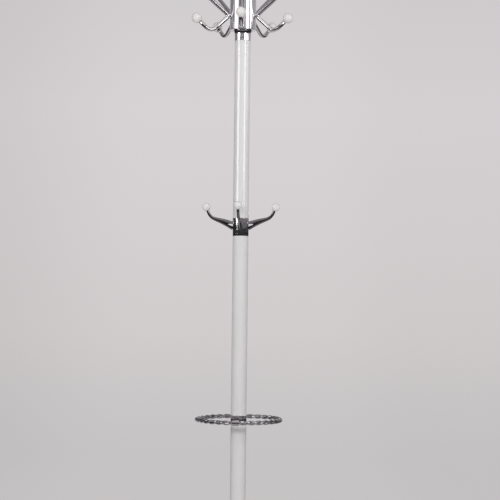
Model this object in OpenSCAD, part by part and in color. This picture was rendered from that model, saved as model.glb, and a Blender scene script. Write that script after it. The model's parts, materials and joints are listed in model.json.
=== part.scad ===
// Standing coat rack: a dished cast foot, a pole of three lacquered tubes between chrome
// collars, a twisted umbrella ring, four forked cast hooks halfway up the pole, and a chrome
// hub that carries five hooks, each bent from one rod. Z is up, the origin is on the floor
// under the pole's axis, and the front faces -Y.

/* [Heights] */
// Centre of the umbrella ring above the floor
ring_z = 603; // [480:1:700]
// Centre of the middle collar above the floor
middle_z = 1083; // [950:1:1250]
// Underside of the hub above the floor
hub_z = 1577; // [1450:1:1700]

/* [Pole] */
// Outside diameter of the pole tubes
pole_d = 40; // [37:0.5:43]
// Wall of the pole tubes
pole_wall = 1.5; // [1:0.1:2.5]
// How far the chrome collars stand proud of the tubes
collar_proud = 0.4; // [0.2:0.1:1.5]
// Wall of the steel joiners inside the tubes
joiner_wall = 3; // [2:0.1:4]
// How far a joiner reaches into each tube
joiner_reach = 40; // [20:1:70]
// Gap on each side of a part that slides into another
slip = 0.1; // [0.05:0.01:0.3]

/* [Foot] */
// Diameter of the foot
foot_d = 370; // [330:5:440]
// Thickness of the dished plate
foot_plate = 6.5; // [6:0.5:12]
// Height of the hollow under the plate
foot_hollow = 5; // [3:0.5:8]
// Width of the rounded rim
rim_w = 10; // [7:0.5:14]
// Straight wall between the dish and the rounded rim
rim_wall = 1; // [0.5:0.5:6]
// Radius of the cove inside the rim
rim_cove = 4; // [2:0.5:8]
// Radius of the foot's lower edge
foot_edge = 5; // [2:0.5:8]
// Rise of the dish towards the boss
dish_fall = 4; // [1:0.5:8]
// Radius of the cove around the boss
boss_cove = 16; // [8:1:24]
// Straight wall of the boss above its cove
boss_wall = 4; // [2:0.5:12]
// Radius of the boss's upper edge
boss_edge = 2; // [1:0.5:2.5]
// Ledge of the boss around the foot collar
boss_ledge = 4; // [3:0.5:8]
// Width of the band under the rim that carries the pads
band_w = 26; // [24:1:34]
// Diameter of a floor pad
pad_d = 18; // [12:1:20]
// Thickness of a floor pad
pad_h = 6; // [5:0.5:8]
// How far the pads lift the foot off the floor
pad_lift = 3.5; // [2.5:0.5:4.5]
// Number of floor pads
pad_count = 6; // [4:1:8]
// Height of the foot collar
foot_collar_h = 24; // [14:1:40]

/* [Foot bolt] */
// Diameter of the bolt that holds the pole to the foot
bolt_d = 12; // [8:1:14]
// Width of the bolt's head across its flats
bolt_flats = 19; // [17:1:24]
// Height of the bolt's head
bolt_head_h = 7.5; // [5:0.5:9]
// How far the bolt screws into the plug
bolt_grip = 32; // [20:1:50]
// Gap between threads
thread_gap = 0.1; // [0.05:0.01:0.2]
// Gap around the bolt in the foot
bolt_gap = 0.6; // [0.3:0.1:1]
// Diameter of the washer
washer_d = 34; // [30:1:40]
// Thickness of the washer
washer_h = 3; // [2:0.5:4]

/* [Umbrella ring] */
// Diameter of the ring, centre to centre of its rope
ring_d = 208; // [180:2:260]
// Diameter of each of the two rods that are twisted together
strand_d = 6; // [4:0.2:8]
// How deep the two rods press into each other
strand_sink = 1; // [0.4:0.1:1.6]
// Half turns of the twist round the ring, an even number
half_twists = 32; // [20:2:44]
// Wall of the sleeves over the ring's joints
sleeve_wall = 1.2; // [0.8:0.1:3]
// Gap between the ring and its sleeves
sleeve_gap = 0.3; // [0.1:0.05:0.5]
// Length of a sleeve
sleeve_l = 16; // [10:1:30]
// Height of the ring collar on the pole
ring_collar_h = 22; // [16:1:40]
// Diameter of the two spokes
spoke_d = 8; // [7:0.5:12]
// Diameter of a spoke's threaded end
spoke_end_d = 6; // [4:0.5:6]
// Width of a spoke's nut across its flats
spoke_nut_flats = 10; // [9:1:12]
// Thickness of a spoke's nut
spoke_nut_h = 5; // [3:0.5:6]
// Turn of the spokes away from the front
ring_turn = -4; // [-45:1:45]

/* [Middle hooks] */
// Height of the middle collar
middle_collar_h = 45; // [40:1:60]
// Turn of the middle hooks away from the front
middle_turn = -5; // [-45:1:45]
// Number of middle hooks
middle_hooks = 4; // [3:1:4]
// Distance of a middle hook's knob from the pole's axis
horn_reach = 87; // [75:0.5:110]
// Height of a middle hook's knob above the collar's centre
horn_rise = 50; // [45:0.5:75]
// Height of the middle of the fork above the collar's centre
fork_rise = 4; // [0:0.5:8]
// Height of the fork at the collar
fork_h = 21; // [19:0.5:26]
// Opening between the prongs at the collar
fork_gap = 7.5; // [4:0.5:8]
// How far the fork's crotch is from the collar
fork_l = 13; // [10:0.5:20]
// Thickness of a middle hook at the collar
horn_root_w = 9; // [7:0.5:12]
// Diameter of a middle hook where it enters its knob
horn_tip_d = 6; // [4:0.5:7]
// Angle above level at which a middle hook enters its knob
horn_tip_climb = 70; // [60:1:90]
// Diameter of a rivet
rivet_d = 4; // [3:0.5:5]
// Diameter of a middle hook's knob
horn_knob_d = 21; // [16:0.5:26]

/* [Hub] */
// Outside diameter of the hub
hub_d = 66; // [60:0.5:80]
// Wall of the hub
hub_wall = 2; // [1.5:0.1:3]
// Height of the hub
hub_h = 120; // [90:1:150]
// Thickness of the hub's floor
hub_floor_h = 4; // [3:0.5:6]
// Rise of the cap's dome
cap_rise = 7; // [3:0.5:12]
// Height of the cap's edge
cap_edge = 3; // [2:0.5:6]
// Depth of the cap's skirt
cap_skirt = 10; // [6:0.5:16]
// Height of the neck between the pole and the hub
neck_h = 27; // [24:1:40]
// Width of the spigot's flange inside the hub
flange_d = 54; // [48:0.5:55]
// Thickness of the spigot's flange
flange_h = 4; // [3:0.5:6]
// Height of the clamp screw above the neck's lower end
neck_screw_rise = 9; // [7:0.5:12]
// Diameter of the clamp screw's head
neck_head_d = 10; // [8:0.5:12]
// Height of the clamp screw's head
neck_head_h = 3; // [2:0.5:4]
// Diameter of the small screws
screw_d = 5; // [4:0.5:5]

/* [Top hooks] */
// Number of top hooks
top_hooks = 5; // [3:1:5]
// Turn of the top hooks away from the front
head_turn = -2.5; // [-36:0.5:36]
// Diameter of the hook rod
rod_d = 10; // [8:0.5:12]
// Gap between the hub and the hook rods
hook_gap = 2; // [1:0.5:5]
// Height of the hooks' joint above the hub's underside
joint_rise = 35; // [28:0.5:60]
// Bend radius where the rod meets the hub
joint_bend = 8; // [7:0.5:12]
// Angle of the coat arm below level
coat_fall = 43; // [35:1:48]
// Distance of the coat arm's lower corner from the hub's axis
coat_corner_r = 82.5; // [76:0.5:95]
// Bend radius of the coat arm
coat_bend = 18; // [12:0.5:20]
// Distance of the coat knob from the hub's axis
coat_knob_r = 119.5; // [112:0.5:140]
// Height of the coat knob below the hooks' joint
coat_knob_drop = 10; // [0:0.5:16]
// Angle of the hat arm above level
hat_climb = 39; // [35:1:48]
// Distance of the hat arm's elbow from the hub's axis
hat_elbow_r = 116; // [100:0.5:135]
// Bend radius of the hat arm
hat_bend = 30; // [15:0.5:40]
// Angle of the hat arm above its elbow
hat_tip_climb = 72; // [60:1:85]
// Length from the hat arm's elbow to the middle of its knob
hat_tip_l = 38; // [32:0.5:60]
// Diameter of the boss between a hook and the hub
hook_boss_d = 12; // [10:0.5:14]
// Diameter of the knobs of the top hooks
knob_d = 26; // [22:0.5:34]
// How deep a rod sits in its knob
knob_grip = 9; // [6:0.5:10]
// Diameter of a hook screw's head
hook_head_d = 9; // [8:0.5:11]
// Height of a hook screw's head
hook_head_h = 3; // [2:0.5:4]

/* [Hidden] */
$fn = 64;
eps = 0.01;
reach_past = 1;

function numbered(name, count) = [for (i = [1:count]) str(name, "_", i)];

// Radii that several pieces share
tube_bore_r = pole_d / 2 - pole_wall;
collar_r = pole_d / 2 + collar_proud;
joiner_r = tube_bore_r - slip;
joiner_bore_r = joiner_r - joiner_wall;
foot_r = foot_d / 2;
rim_r = rim_w / 2;
ring_r = ring_d / 2;
hub_r = hub_d / 2;
hub_bore_r = hub_r - hub_wall;
rod_r = rod_d / 2;
knob_r = knob_d / 2;
horn_knob_r = horn_knob_d / 2;

// Foot, from the floor up
under_z = pad_lift + foot_hollow;
dish_z = under_z + foot_plate;
rim_z = dish_z + rim_cove + rim_wall + rim_r;
boss_r = collar_r + boss_ledge;
boss_foot_z = dish_z + dish_fall;
boss_z = boss_foot_z + boss_cove + boss_wall + boss_edge;
recess_gap = 2;
recess_r = washer_d / 2 + recess_gap;
head_clear = 1;
seat_z = pad_lift + head_clear + bolt_head_h + washer_h;
bolt_hole_r = bolt_d / 2 + bolt_gap;
pad_ring_r = foot_r - foot_edge - (band_w - foot_edge) / 2;

// Where each tube and collar starts and ends
lower_z0 = boss_z + foot_collar_h;
ring_collar_z0 = ring_z - ring_collar_h / 2;
ring_collar_z1 = ring_z + ring_collar_h / 2;
middle_collar_z0 = middle_z - middle_collar_h / 2;
middle_collar_z1 = middle_z + middle_collar_h / 2;
neck_z = hub_z - neck_h;
hub_top_z = hub_z + hub_h;

// Twisted ring: the outline of two round rods that lie against each other
strand_r = strand_d / 2;
strand_c = strand_r - strand_sink / 2;
rope_r = strand_r + strand_c;
rope_sides = 16;
twist_steps = 6;
rope_steps = half_twists * twist_steps;
sleeve_bore_r = rope_r + sleeve_gap;
sleeve_r = sleeve_bore_r + sleeve_wall;
sleeve_angle = 360 * sleeve_l / (PI * ring_d);
spoke_tail = 2;
spoke_end_r = joiner_bore_r - spoke_nut_h - spoke_tail;

// Middle hooks: the horn's centre line is a Bezier curve of radius and height
// with the fork's middle as its level
fork_z = middle_z + fork_rise;
prong_h = (fork_h - fork_gap) / 2;
rivet_rise = (fork_gap + prong_h) / 2;
horn_sink = 3;
horn_drop = 2;
horn_knob_at = [horn_reach, horn_rise - fork_rise];
horn_tip_depth = sqrt(pow(horn_knob_r, 2) - pow(horn_tip_d / 2, 2));
horn_root_climb = 27;
horn_lead_share = 0.66;
horn_pull_share = 0.38;
horn_taper = 2.4;
horn_root = [collar_r - horn_sink, -horn_drop];
horn_tip = horn_knob_at - horn_tip_depth * [cos(horn_tip_climb), sin(horn_tip_climb)];
horn_span = norm(horn_tip - horn_root);
horn_lead = horn_root + horn_lead_share * horn_span * [cos(horn_root_climb), sin(horn_root_climb)];
horn_pull = horn_tip - horn_pull_share * horn_span * [cos(horn_tip_climb), sin(horn_tip_climb)];
horn_sections = 18;
horn_sides = 16;
fork_slope = 17;
crotch_r = 1.2;
crotch_sweep = 80;
rivet_tail = 1.5;
rivet_sink = 5;
horn_pin_l = 6;
horn_pin_step = 0.5;
horn_pin_r = horn_tip_d / 2 - horn_pin_step;

// Slot in the clamp screw's head
slot_w = 1.2;
slot_h = 1.2;

// Top hooks: corners of the rod's path as radius and height
rod_lap = 0.25;
rod_blend = 0.04;
joint_z = hub_z + joint_rise;
hook_r = hub_r + hook_gap + rod_r;
joint_turn = 180 - coat_fall - hat_climb;
joint_lean = (hat_climb - coat_fall) / 2;
joint_corner_r = hook_r + joint_bend - joint_bend / cos(joint_turn / 2) * cos(joint_lean);
joint_corner = [joint_corner_r, joint_z];
coat_corner = [coat_corner_r, joint_z - (coat_corner_r - joint_corner_r) * tan(coat_fall)];
coat_knob_at = [coat_knob_r, joint_z - coat_knob_drop];
hat_elbow = [hat_elbow_r, joint_z + (hat_elbow_r - joint_corner_r) * tan(hat_climb)];
hat_knob_at = hat_elbow + hat_tip_l * [cos(hat_tip_climb), sin(hat_tip_climb)];
screw_bite = 1;
screw_tip_r = hook_r + screw_bite;
hook_head_r = sqrt(pow(hub_bore_r, 2) - pow(hook_head_d / 2, 2)) - eps;

white = "#f1f0ec";
chrome = "#c9ccd1";
steel = "#8f9296";
black = "#2b2b2b";

function unit(v) = v / norm(v);
function heading(v) = atan2(v.y, v.x);

// Points of an arc about c, from one angle to another
function arc(c, r, from, to, steps = 10) =
    [for (i = [0:steps]) let (a = from + (to - from) * i / steps) c + r * [cos(a), sin(a)]];

// Turns what points along +X to an angle away from the front, towards the right
module facing(turn) {
    rotate([0, 0, turn - 90]) children();
}

// A round rod along +X, between two distances from the axis, at a height
module radial_rod(d, r0, r1, z) {
    translate([r0, 0, z]) rotate([0, 90, 0]) cylinder(h = r1 - r0, d = d);
}

module tube(r_out, r_in, z0, z1) {
    translate([0, 0, z0])
        difference() {
            cylinder(h = z1 - z0, r = r_out);
            translate([0, 0, -reach_past]) cylinder(h = z1 - z0 + 2 * reach_past, r = r_in);
        }
}

// Lays a drawing of radius and height upright, in the plane of +X and Z
module upright() {
    rotate([90, 0, 0]) children();
}

// A round rod bent as on a bending machine, from the origin along +X: each step is a straight
// length, then the turn and the radius of the bend after it. A ball hardly thicker than the
// rod joins each straight to its bend.
module bent_rod(d, steps, k = 0) {
    length = steps[k][0];
    lap_in = k == 0 ? 0 : rod_lap;
    lap_out = k == len(steps) - 1 ? 0 : rod_lap;
    translate([-lap_in, 0, 0])
        rotate([0, 90, 0])
            cylinder(h = length + lap_in + lap_out, d = d);
    if (k > 0) sphere(d = d + rod_blend);
    if (k < len(steps) - 1) {
        turn = steps[k][1];
        bend = steps[k][2];
        side = sign(turn);
        translate([length, 0, 0]) sphere(d = d + rod_blend);
        translate([length, side * bend, 0]) {
            rotate([0, 0, turn > 0 ? -90 : 90 + turn])
                rotate_extrude(angle = abs(turn)) translate([bend, 0]) circle(d = d);
            rotate([0, 0, turn]) translate([0, -side * bend, 0]) bent_rod(d, steps, k + 1);
        }
    }
}

// Iron foot: a dished disc with a rounded rim and a boss, hollow underneath
module foot() {
    outline = concat(
        [[bolt_hole_r, seat_z], [recess_r, seat_z], [recess_r, pad_lift]],
        [[recess_r + foot_plate, pad_lift], [recess_r + foot_plate, under_z]],
        [[foot_r - band_w, under_z], [foot_r - band_w, pad_lift]],
        arc([foot_r - foot_edge, pad_lift + foot_edge], foot_edge, -90, 0),
        arc([foot_r - rim_r, rim_z - rim_r], rim_r, 0, 180, 16),
        arc([foot_r - rim_w - rim_cove, dish_z + rim_cove], rim_cove, 0, -90),
        arc([boss_r + boss_cove, boss_foot_z + boss_cove], boss_cove, -90, -180, 14),
        arc([boss_r - boss_edge, boss_z - boss_edge], boss_edge, 0, 90, 6),
        [[bolt_hole_r, boss_z]]
    );
    color(white)
        difference() {
            rotate_extrude($fn = 128) polygon(outline);
            for (i = [0:pad_count - 1])
                facing(i * 360 / pad_count)
                    translate([pad_ring_r, 0, pad_lift - eps])
                        cylinder(h = pad_h - pad_lift + eps, r = pad_d / 2 + slip);
        }
}

module floor_pads() {
    color(black)
        for (i = [0:pad_count - 1])
            facing(i * 360 / pad_count)
                translate([pad_ring_r, 0, 0])
                    cylinder(h = pad_h, d = pad_d);
}

// Bolt up through the foot's boss into the plug
module foot_bolt() {
    head_z = seat_z - washer_h - bolt_head_h;
    color(steel) {
        translate([0, 0, head_z]) cylinder(h = bolt_head_h, d = bolt_flats / cos(30), $fn = 6);
        translate([0, 0, head_z]) cylinder(h = boss_z + bolt_grip - head_z, d = bolt_d);
    }
}

module foot_washer() {
    color(steel) tube(washer_d / 2, bolt_d / 2 + slip, seat_z - washer_h, seat_z);
}

// Threaded plug in the foot collar and the lower tube
module foot_plug() {
    color(steel) tube(joiner_r, bolt_d / 2 + thread_gap, boss_z, lower_z0 + joiner_reach);
}

module foot_collar() {
    color(chrome) tube(collar_r, tube_bore_r, boss_z, lower_z0);
}

module pole_lower() {
    color(white) tube(pole_d / 2, tube_bore_r, lower_z0, ring_collar_z0);
}

module spoke_holes() {
    for (side = [0, 180])
        facing(ring_turn + side)
            radial_rod(spoke_end_d + 2 * slip, joiner_bore_r - reach_past, collar_r + reach_past, ring_z);
}

module ring_collar() {
    color(chrome)
        difference() {
            tube(collar_r, tube_bore_r, ring_collar_z0, ring_collar_z1);
            spoke_holes();
        }
}

module ring_joiner() {
    color(steel)
        difference() {
            tube(joiner_r, joiner_bore_r, ring_collar_z0 - joiner_reach, ring_collar_z1 + joiner_reach);
            spoke_holes();
        }
}

// Distance from the rope's centre to its outline, at an angle from the line through both rods
function rope_outline(a) =
    strand_c * abs(cos(a)) + sqrt(pow(strand_r, 2) - pow(strand_c * sin(a), 2));

function rope_point(i, j) =
    let (
        along = 360 * i / rope_steps,
        a = 360 * j / rope_sides,
        r = rope_outline(a),
        twist = 180 * half_twists * i / rope_steps,
        out = ring_r + r * cos(a + twist)
    )
    [out * cos(along), out * sin(along), r * sin(a + twist)];

// Two rods twisted round each other and closed into a ring
module umbrella_ring() {
    points = [for (i = [0:rope_steps - 1]) for (j = [0:rope_sides - 1]) rope_point(i, j)];
    function id(i, j) = (i % rope_steps) * rope_sides + j % rope_sides;
    faces = [
        for (i = [0:rope_steps - 1])
            for (j = [0:rope_sides - 1])
                each [[id(i, j), id(i, j + 1), id(i + 1, j + 1)], [id(i, j), id(i + 1, j + 1), id(i + 1, j)]]
    ];
    color(chrome) translate([0, 0, ring_z]) polyhedron(points, faces);
}

// Short tubes over the joints of the ring, front and back
module ring_sleeves() {
    color(chrome)
        for (side = [0, 180])
            facing(ring_turn + side)
                translate([0, 0, ring_z])
                    rotate([0, 0, -sleeve_angle / 2])
                        rotate_extrude(angle = sleeve_angle)
                            translate([ring_r, 0])
                                difference() {
                                    circle(r = sleeve_r);
                                    circle(r = sleeve_bore_r);
                                }
}

// Spokes from the ring collar to the sleeves, each with a thinner threaded end inside the pole
module ring_spokes() {
    color(chrome)
        for (side = [0, 180])
            facing(ring_turn + side) {
                difference() {
                    radial_rod(spoke_d, joiner_r, ring_r, ring_z);
                    translate([0, 0, ring_z - spoke_d]) cylinder(h = 2 * spoke_d, r = collar_r);
                    translate([0, 0, ring_z])
                        rotate_extrude() translate([ring_r, 0]) circle(r = sleeve_r);
                }
                radial_rod(spoke_end_d, spoke_end_r, collar_r + reach_past, ring_z);
            }
}

module spoke_nuts() {
    corner_r = spoke_nut_flats / cos(30) / 2;
    nut_r = sqrt(pow(joiner_bore_r, 2) - pow(corner_r, 2)) - eps;
    color(steel)
        for (side = [0, 180])
            facing(ring_turn + side)
                translate([nut_r - spoke_nut_h, 0, ring_z])
                    rotate([0, 90, 0])
                        difference() {
                            cylinder(h = spoke_nut_h, r = corner_r, $fn = 6);
                            translate([0, 0, -reach_past])
                                cylinder(h = spoke_nut_h + 2 * reach_past, d = spoke_end_d + 2 * thread_gap);
                        }
}

module pole_middle() {
    color(white) tube(pole_d / 2, tube_bore_r, ring_collar_z1, middle_collar_z0);
}

// The rivets of every middle hook, or the holes that they pass through
module rivets(d, r0, r1) {
    for (rise = [-rivet_rise, rivet_rise])
        radial_rod(d, r0, r1, rise);
}

module rivet_holes() {
    for (i = [0:middle_hooks - 1])
        facing(middle_turn + i * 360 / middle_hooks)
            translate([0, 0, fork_z])
                rivets(rivet_d + 2 * slip, joiner_bore_r - reach_past, collar_r + reach_past);
}

module middle_collar() {
    color(chrome)
        difference() {
            tube(collar_r, tube_bore_r, middle_collar_z0, middle_collar_z1);
            rivet_holes();
        }
}

module middle_joiner() {
    color(steel)
        difference() {
            tube(joiner_r, joiner_bore_r, middle_collar_z0 - joiner_reach, middle_collar_z1 + joiner_reach);
            rivet_holes();
        }
}

function horn_line(t) =
    pow(1 - t, 3) * horn_root + 3 * pow(1 - t, 2) * t * horn_lead
    + 3 * (1 - t) * pow(t, 2) * horn_pull + pow(t, 3) * horn_tip;

function horn_way(t) =
    unit(
        pow(1 - t, 2) * (horn_lead - horn_root) + 2 * (1 - t) * t * (horn_pull - horn_lead)
        + pow(t, 2) * (horn_tip - horn_pull)
    );

// One oval section of the horn: tall at the fork, round and thin at the tip
function horn_section(t) =
    let (
        at = horn_line(t),
        way = horn_way(t),
        h = horn_tip_d + (fork_h - horn_tip_d) * pow(1 - t, horn_taper),
        w = horn_tip_d + (horn_root_w - horn_tip_d) * (1 - t)
    )
    [
        for (j = [0:horn_sides - 1])
            let (a = 360 * j / horn_sides, up = h / 2 * cos(a), across = w / 2 * sin(a))
            [at.x - way.y * up, across, at.y + way.x * up]
    ];

module horn() {
    points = [for (i = [0:horn_sections]) each horn_section(i / horn_sections)];
    function id(i, j) = i * horn_sides + j % horn_sides;
    sides = [
        for (i = [0:horn_sections - 1])
            for (j = [0:horn_sides - 1])
                each [[id(i, j), id(i, j + 1), id(i + 1, j + 1)], [id(i, j), id(i + 1, j + 1), id(i + 1, j)]]
    ];
    caps = [
        for (j = [1:horn_sides - 2])
            each [[id(0, 0), id(0, j + 1), id(0, j)], [for (k = [0, j, j + 1]) id(horn_sections, k)]]
    ];
    polyhedron(points, concat(sides, caps));
}

// Turns what points along +Z to the way the horn enters its knob, a little below its tip
module at_horn_tip() {
    translate([horn_tip.x, 0, horn_tip.y])
        rotate([0, 90 - horn_tip_climb, 0])
            translate([0, 0, -reach_past])
                children();
}

// Cast hook: a horn whose root forks into two prongs, riveted through the middle collar
module middle_hook(i) {
    crotch = [collar_r + fork_l, fork_l * tan(fork_slope)];
    notch = concat(
        [[collar_r - reach_past, fork_gap / 2], [collar_r - reach_past, -fork_gap / 2]],
        arc(crotch, crotch_r, fork_slope - crotch_sweep, fork_slope + crotch_sweep, 8)
    );
    color(chrome)
        facing(middle_turn + i * 360 / middle_hooks)
            translate([0, 0, fork_z]) {
                difference() {
                    horn();
                    translate([0, 0, -middle_collar_h]) cylinder(h = 2 * middle_collar_h, r = collar_r);
                    upright()
                        translate([0, 0, -horn_root_w])
                            linear_extrude(height = 2 * horn_root_w) polygon(notch);
                }
                rivets(rivet_d, joiner_bore_r - rivet_tail, collar_r + rivet_sink);
                at_horn_tip() cylinder(h = horn_pin_l + reach_past, r = horn_pin_r);
            }
}

module middle_knob(i) {
    color(white)
        facing(middle_turn + i * 360 / middle_hooks)
            translate([0, 0, fork_z])
                difference() {
                    translate([horn_knob_at.x, 0, horn_knob_at.y]) sphere(r = horn_knob_r);
                    at_horn_tip() cylinder(h = reach_past, r = horn_tip_d / 2 + slip);
                    at_horn_tip() cylinder(h = horn_pin_l + reach_past, r = horn_pin_r + slip);
                }
}

module pole_upper() {
    color(white) tube(pole_d / 2, tube_bore_r, middle_collar_z1, neck_z);
}

module neck_collar() {
    color(chrome)
        difference() {
            tube(collar_r, tube_bore_r, neck_z, hub_z);
            facing(head_turn)
                radial_rod(screw_d + 2 * slip, joiner_r, collar_r + reach_past, neck_z + neck_screw_rise);
        }
}

// Round-headed screw that clamps the neck to the spigot, with a slot in its head
module neck_screw() {
    head_r = neck_head_d / 2;
    dome_r = (pow(head_r, 2) + pow(neck_head_h, 2)) / (2 * neck_head_h);
    dome_angle = asin(head_r / dome_r);
    profile = concat(
        [[0, joiner_bore_r], [screw_d / 2, joiner_bore_r], [screw_d / 2, collar_r]],
        arc([0, collar_r + neck_head_h - dome_r], dome_r, 90 - dome_angle, 90, 8)
    );
    color(chrome)
        facing(head_turn)
            translate([0, 0, neck_z + neck_screw_rise])
                difference() {
                    rotate([0, 90, 0]) rotate_extrude() polygon(profile);
                    translate([collar_r + neck_head_h - slot_h, -neck_head_d / 2, -slot_w / 2])
                        cube([slot_h + reach_past, neck_head_d, slot_w]);
                }
}

// Steel spigot inside the neck, with a flange that lies on the hub's floor
module hub_spigot() {
    flange_z = hub_z + hub_floor_h;
    color(steel)
        difference() {
            union() {
                translate([0, 0, neck_z - joiner_reach])
                    cylinder(h = flange_z + flange_h - neck_z + joiner_reach, r = joiner_r);
                translate([0, 0, flange_z]) cylinder(h = flange_h, d = flange_d);
            }
            translate([0, 0, neck_z - joiner_reach - reach_past])
                cylinder(h = hub_h + joiner_reach + 2 * reach_past, r = joiner_bore_r);
            facing(head_turn)
                radial_rod(
                    screw_d + 2 * thread_gap, joiner_bore_r - reach_past, collar_r, neck_z + neck_screw_rise
                );
        }
}

module hub_floor() {
    color(chrome) tube(hub_bore_r - slip, joiner_r + slip, hub_z, hub_z + hub_floor_h);
}

module hub_shell() {
    color(chrome)
        difference() {
            tube(hub_r, hub_bore_r, hub_z, hub_top_z);
            for (i = [0:top_hooks - 1])
                facing(head_turn + i * 360 / top_hooks)
                    radial_rod(screw_d + 2 * slip, hub_bore_r - reach_past, hub_r + reach_past, joint_z);
        }
}

// Domed cap with a skirt that slides into the hub
module hub_cap() {
    dome_r = (pow(hub_r, 2) + pow(cap_rise, 2)) / (2 * cap_rise);
    dome_angle = asin(hub_r / dome_r);
    skirt_r = hub_bore_r - slip;
    outline = concat(
        [[0, hub_top_z], [skirt_r - hub_wall, hub_top_z], [skirt_r - hub_wall, hub_top_z - cap_skirt]],
        [[skirt_r, hub_top_z - cap_skirt], [skirt_r, hub_top_z], [hub_r, hub_top_z]],
        arc([0, hub_top_z + cap_edge + cap_rise - dome_r], dome_r, 90 - dome_angle, 90, 14)
    );
    color(chrome) rotate_extrude() polygon(outline);
}

// Screws inside the hub that hold the hooks
module hook_screws() {
    color(steel)
        for (i = [0:top_hooks - 1])
            facing(head_turn + i * 360 / top_hooks) {
                radial_rod(hook_head_d, hook_head_r - hook_head_h, hook_head_r, joint_z);
                radial_rod(screw_d, hook_head_r - eps, screw_tip_r, joint_z);
            }
}

// One rod, bent near the end of its hat arm, at the hub and at the bottom of its coat arm
module top_hook(i) {
    hat_turn = hat_climb - hat_tip_climb;
    coat_turn = coat_fall + heading(coat_knob_at - coat_corner);
    hat_cut = hat_bend * tan(abs(hat_turn) / 2);
    joint_cut = joint_bend * tan(joint_turn / 2);
    coat_cut = coat_bend * tan(coat_turn / 2);
    tip_gap = knob_r - knob_grip;
    hat_tip = hat_knob_at - tip_gap * unit(hat_knob_at - hat_elbow);
    steps = [
        [norm(hat_elbow - hat_tip) - hat_cut, hat_turn, hat_bend],
        [norm(joint_corner - hat_elbow) - hat_cut - joint_cut, joint_turn, joint_bend],
        [norm(coat_corner - joint_corner) - joint_cut - coat_cut, coat_turn, coat_bend],
        [norm(coat_knob_at - coat_corner) - coat_cut - tip_gap]
    ];
    color(chrome)
        facing(head_turn + i * 360 / top_hooks)
            difference() {
                union() {
                    upright()
                        translate([hat_tip.x, hat_tip.y, 0])
                            rotate([0, 0, 180 + hat_tip_climb])
                                bent_rod(rod_d, steps);
                    radial_rod(hook_boss_d, hub_bore_r, hook_r, joint_z);
                }
                translate([0, 0, joint_z - hook_boss_d]) cylinder(h = 2 * hook_boss_d, r = hub_r);
                radial_rod(screw_d + 2 * thread_gap, hub_bore_r, screw_tip_r + thread_gap, joint_z);
            }
}

// Knob at a point of radius and height, bored for a rod that comes from another point
module rod_knob(at, from) {
    way = unit(from - at);
    tip = at + (knob_r - knob_grip) * way;
    difference() {
        translate([at.x, 0, at.y]) sphere(r = knob_r);
        upright()
            translate([tip.x, tip.y, 0])
                rotate([0, 90, heading(way)])
                    cylinder(h = knob_grip + reach_past, r = rod_r + slip);
    }
}

module coat_knob(i) {
    color(white) facing(head_turn + i * 360 / top_hooks) rod_knob(coat_knob_at, coat_corner);
}

module hat_knob(i) {
    color(white) facing(head_turn + i * 360 / top_hooks) rod_knob(hat_knob_at, hat_elbow);
}

foot();
floor_pads();
foot_bolt();
foot_washer();
foot_plug();
foot_collar();
pole_lower();
ring_collar();
ring_joiner();
umbrella_ring();
ring_sleeves();
ring_spokes();
spoke_nuts();
pole_middle();
middle_collar();
middle_joiner();
for (i = [0:middle_hooks - 1]) {
    middle_hook(i);
    middle_knob(i);
}
pole_upper();
neck_collar();
neck_screw();
hub_spigot();
hub_floor();
hub_shell();
hub_cap();
hook_screws();
for (i = [0:top_hooks - 1]) {
    top_hook(i);
    coat_knob(i);
    hat_knob(i);
}
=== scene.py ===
import bpy
import bmesh
import json
import numpy as np
from math import asin, atan2, cos, hypot, pi, radians, sin, sqrt, tan
from mathutils import Matrix, Quaternion, Vector


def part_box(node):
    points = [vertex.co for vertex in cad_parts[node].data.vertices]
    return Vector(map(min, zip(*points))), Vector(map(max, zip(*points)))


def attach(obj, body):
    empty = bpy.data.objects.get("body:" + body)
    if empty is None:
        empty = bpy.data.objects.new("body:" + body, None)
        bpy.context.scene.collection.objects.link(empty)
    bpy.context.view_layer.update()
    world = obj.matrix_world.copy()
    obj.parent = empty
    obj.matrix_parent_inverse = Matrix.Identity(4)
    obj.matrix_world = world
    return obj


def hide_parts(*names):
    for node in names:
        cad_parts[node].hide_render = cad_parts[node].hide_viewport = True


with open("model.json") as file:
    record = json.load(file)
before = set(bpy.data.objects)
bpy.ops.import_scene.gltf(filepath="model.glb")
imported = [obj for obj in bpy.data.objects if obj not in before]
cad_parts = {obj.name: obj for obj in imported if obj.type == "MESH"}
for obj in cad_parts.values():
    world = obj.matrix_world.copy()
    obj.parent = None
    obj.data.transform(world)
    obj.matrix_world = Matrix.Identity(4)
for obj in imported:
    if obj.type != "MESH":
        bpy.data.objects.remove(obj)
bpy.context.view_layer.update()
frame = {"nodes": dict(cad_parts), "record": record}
cadNodes = frame["nodes"]
mm = 0.001
print("frame loaded:", len(cadNodes), "nodes")


class Wire:
    # A socket in an expression: + - * / add Math nodes to its tree
    def __init__(self, shader, socket):
        self.shader = shader
        self.socket = socket

    def math(self, operation, left, right):
        return self.shader.node("Math", {"operation": operation}, {0: left, 1: right})["Value"]

    def __add__(self, other):
        return self.math("ADD", self, other)

    def __sub__(self, other):
        return self.math("SUBTRACT", self, other)

    def __rsub__(self, other):
        return self.math("SUBTRACT", other, self)

    def __mul__(self, other):
        return self.math("MULTIPLY", self, other)

    def __truediv__(self, other):
        return self.math("DIVIDE", self, other)

    def __rtruediv__(self, other):
        return self.math("DIVIDE", other, self)

    __radd__ = __add__
    __rmul__ = __mul__


class Outputs:
    # A node's results, each as a wire
    def __init__(self, shader, node):
        self.shader = shader
        self.node = node

    def __getitem__(self, key):
        return Wire(self.shader, self.node.outputs[key])


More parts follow.
